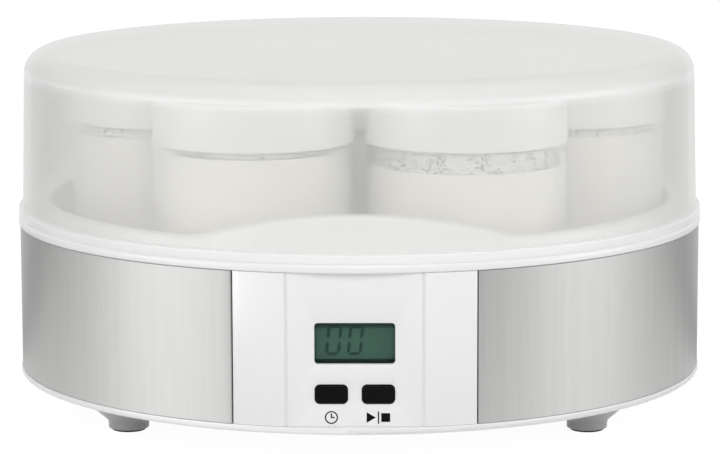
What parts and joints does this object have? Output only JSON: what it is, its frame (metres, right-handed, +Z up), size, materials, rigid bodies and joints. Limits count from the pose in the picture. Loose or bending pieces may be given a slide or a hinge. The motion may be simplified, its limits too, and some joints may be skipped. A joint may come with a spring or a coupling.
{
  "type": "yogurt maker",
  "caption": "Round electric yogurt maker: steel-banded base with a display panel and push buttons, lift-off translucent lid, and capped glass jars standing in a heated well.",
  "frame": {"origin": "on the table, under the middle of the round base", "axes": "+Z up, -Y towards the user, who faces the display panel, +X to the user's right"},
  "size_m": [0.25, 0.25, 0.1314],
  "materials": {
    "white_plastic": "moulded white, satin gloss",
    "lid_plastic": "translucent moulding, slightly frosted on top",
    "cap_plastic": "moulded white",
    "steel": "brushed upright",
    "jar_glass": "clear pressed glass",
    "yogurt": "smooth set yogurt",
    "black_plastic": "glossy black",
    "grey_plastic": "feet and inner mouldings",
    "clear_plastic": "clear window",
    "lcd": "reflective display",
    "rubber": "foot pads and bush",
    "silicone": "heating cord and leads",
    "aluminium": "rolled sheet",
    "screw_steel": "plated",
    "circuit_board": "green board",
    "blue_plastic": "relay and terminal cases"
  },
  "bodies": {
    "base": {"tub": "white_plastic", "body_shell": "grey_plastic", "steel_wrap": "steel", "front_panel": "white_plastic", "bottom_cover": "white_plastic", "foot_front_left": "grey_plastic", "foot_front_right": "grey_plastic", "foot_rear_left": "grey_plastic", "foot_rear_right": "grey_plastic", "foot_pads": "rubber", "housing_screws": "screw_steel", "time_switch": "black_plastic", "start_switch": "black_plastic", "lcd_window": "clear_plastic", "lcd_glass": "lcd", "lcd_holder": "grey_plastic", "lcd_zebra_strips": "silicone", "control_board": "circuit_board", "control_board_screws": "screw_steel", "heater_plate": "aluminium", "heating_cord": "silicone", "heater_clips": "aluminium", "temperature_sensor": "black_plastic", "sensor_clip": "aluminium", "thermal_fuse": "screw_steel", "fuse_clip": "aluminium", "power_board": "circuit_board", "power_board_screws": "screw_steel", "relay": "blue_plastic", "capacitor": "aluminium", "terminal_block": "blue_plastic", "heater_leads": "silicone", "panel_ribbon": "grey_plastic", "cord_gland": "rubber"},
    "lid": {"lid": "lid_plastic"},
    "time_button": {"time_button": "black_plastic", "time_plunger": "grey_plastic"},
    "start_button": {"start_button": "black_plastic", "start_plunger": "grey_plastic"},
    "jar_front_left": {"jar_front_left": "jar_glass", "yogurt_front_left": "yogurt"},
    "jar_cap_front_left": {"jar_cap_front_left": "cap_plastic"},
    "jar_front_right": {"jar_front_right": "jar_glass", "yogurt_front_right": "yogurt"},
    "jar_cap_front_right": {"jar_cap_front_right": "cap_plastic"},
    "jar_left": {"jar_left": "jar_glass", "yogurt_left": "yogurt"},
    "jar_cap_left": {"jar_cap_left": "cap_plastic"},
    "jar_middle": {"jar_middle": "jar_glass", "yogurt_middle": "yogurt"},
    "jar_cap_middle": {"jar_cap_middle": "cap_plastic"},
    "jar_right": {"jar_right": "jar_glass", "yogurt_right": "yogurt"},
    "jar_cap_right": {"jar_cap_right": "cap_plastic"},
    "jar_rear_left": {"jar_rear_left": "jar_glass", "yogurt_rear_left": "yogurt"},
    "jar_cap_rear_left": {"jar_cap_rear_left": "cap_plastic"},
    "jar_rear_right": {"jar_rear_right": "jar_glass", "yogurt_rear_right": "yogurt"},
    "jar_cap_rear_right": {"jar_cap_rear_right": "cap_plastic"}
  },
  "joints": [
    {"name": "lid_lift", "type": "slide", "parent": "base", "child": "lid", "axis": [0, 0, 1], "range_m": [0, 0.26]},
    {"name": "time_press", "type": "slide", "parent": "base", "child": "time_button", "axis": [0, 1, 0], "range_m": [0, 0.001], "stiffness_N_per_m": 600},
    {"name": "start_press", "type": "slide", "parent": "base", "child": "start_button", "axis": [0, 1, 0], "range_m": [0, 0.001], "stiffness_N_per_m": 600},
    {"name": "jar_front_left_lift", "type": "slide", "parent": "base", "child": "jar_front_left", "axis": [0, 0, 1], "range_m": [0, 0.092]},
    {"name": "jar_cap_front_left_lift", "type": "slide", "parent": "jar_front_left", "child": "jar_cap_front_left", "axis": [0, 0, 1], "range_m": [0, 0.053]},
    {"name": "jar_front_right_lift", "type": "slide", "parent": "base", "child": "jar_front_right", "axis": [0, 0, 1], "range_m": [0, 0.092]},
    {"name": "jar_cap_front_right_lift", "type": "slide", "parent": "jar_front_right", "child": "jar_cap_front_right", "axis": [0, 0, 1], "range_m": [0, 0.053]},
    {"name": "jar_left_lift", "type": "slide", "parent": "base", "child": "jar_left", "axis": [0, 0, 1], "range_m": [0, 0.092]},
    {"name": "jar_cap_left_lift", "type": "slide", "parent": "jar_left", "child": "jar_cap_left", "axis": [0, 0, 1], "range_m": [0, 0.053]},
    {"name": "jar_middle_lift", "type": "slide", "parent": "base", "child": "jar_middle", "axis": [0, 0, 1], "range_m": [0, 0.092]},
    {"name": "jar_cap_middle_lift", "type": "slide", "parent": "jar_middle", "child": "jar_cap_middle", "axis": [0, 0, 1], "range_m": [0, 0.053]},
    {"name": "jar_right_lift", "type": "slide", "parent": "base", "child": "jar_right", "axis": [0, 0, 1], "range_m": [0, 0.092]},
    {"name": "jar_cap_right_lift", "type": "slide", "parent": "jar_right", "child": "jar_cap_right", "axis": [0, 0, 1], "range_m": [0, 0.053]},
    {"name": "jar_rear_left_lift", "type": "slide", "parent": "base", "child": "jar_rear_left", "axis": [0, 0, 1], "range_m": [0, 0.092]},
    {"name": "jar_cap_rear_left_lift", "type": "slide", "parent": "jar_rear_left", "child": "jar_cap_rear_left", "axis": [0, 0, 1], "range_m": [0, 0.053]},
    {"name": "jar_rear_right_lift", "type": "slide", "parent": "base", "child": "jar_rear_right", "axis": [0, 0, 1], "range_m": [0, 0.092]},
    {"name": "jar_cap_rear_right_lift", "type": "slide", "parent": "jar_rear_right", "child": "jar_cap_rear_right", "axis": [0, 0, 1], "range_m": [0, 0.053]}
  ],
  "couplings": [
    {"joint": "jar_front_left_lift", "follows": "lid_lift", "ratio": 0.35},
    {"joint": "jar_cap_front_left_lift", "follows": "lid_lift", "ratio": 0.2},
    {"joint": "jar_front_right_lift", "follows": "lid_lift", "ratio": 0.35},
    {"joint": "jar_cap_front_right_lift", "follows": "lid_lift", "ratio": 0.2},
    {"joint": "jar_left_lift", "follows": "lid_lift", "ratio": 0.35},
    {"joint": "jar_cap_left_lift", "follows": "lid_lift", "ratio": 0.2},
    {"joint": "jar_middle_lift", "follows": "lid_lift", "ratio": 0.35},
    {"joint": "jar_cap_middle_lift", "follows": "lid_lift", "ratio": 0.2},
    {"joint": "jar_right_lift", "follows": "lid_lift", "ratio": 0.35},
    {"joint": "jar_cap_right_lift", "follows": "lid_lift", "ratio": 0.2},
    {"joint": "jar_rear_left_lift", "follows": "lid_lift", "ratio": 0.35},
    {"joint": "jar_cap_rear_left_lift", "follows": "lid_lift", "ratio": 0.2},
    {"joint": "jar_rear_right_lift", "follows": "lid_lift", "ratio": 0.35},
    {"joint": "jar_cap_rear_right_lift", "follows": "lid_lift", "ratio": 0.2}
  ]
}
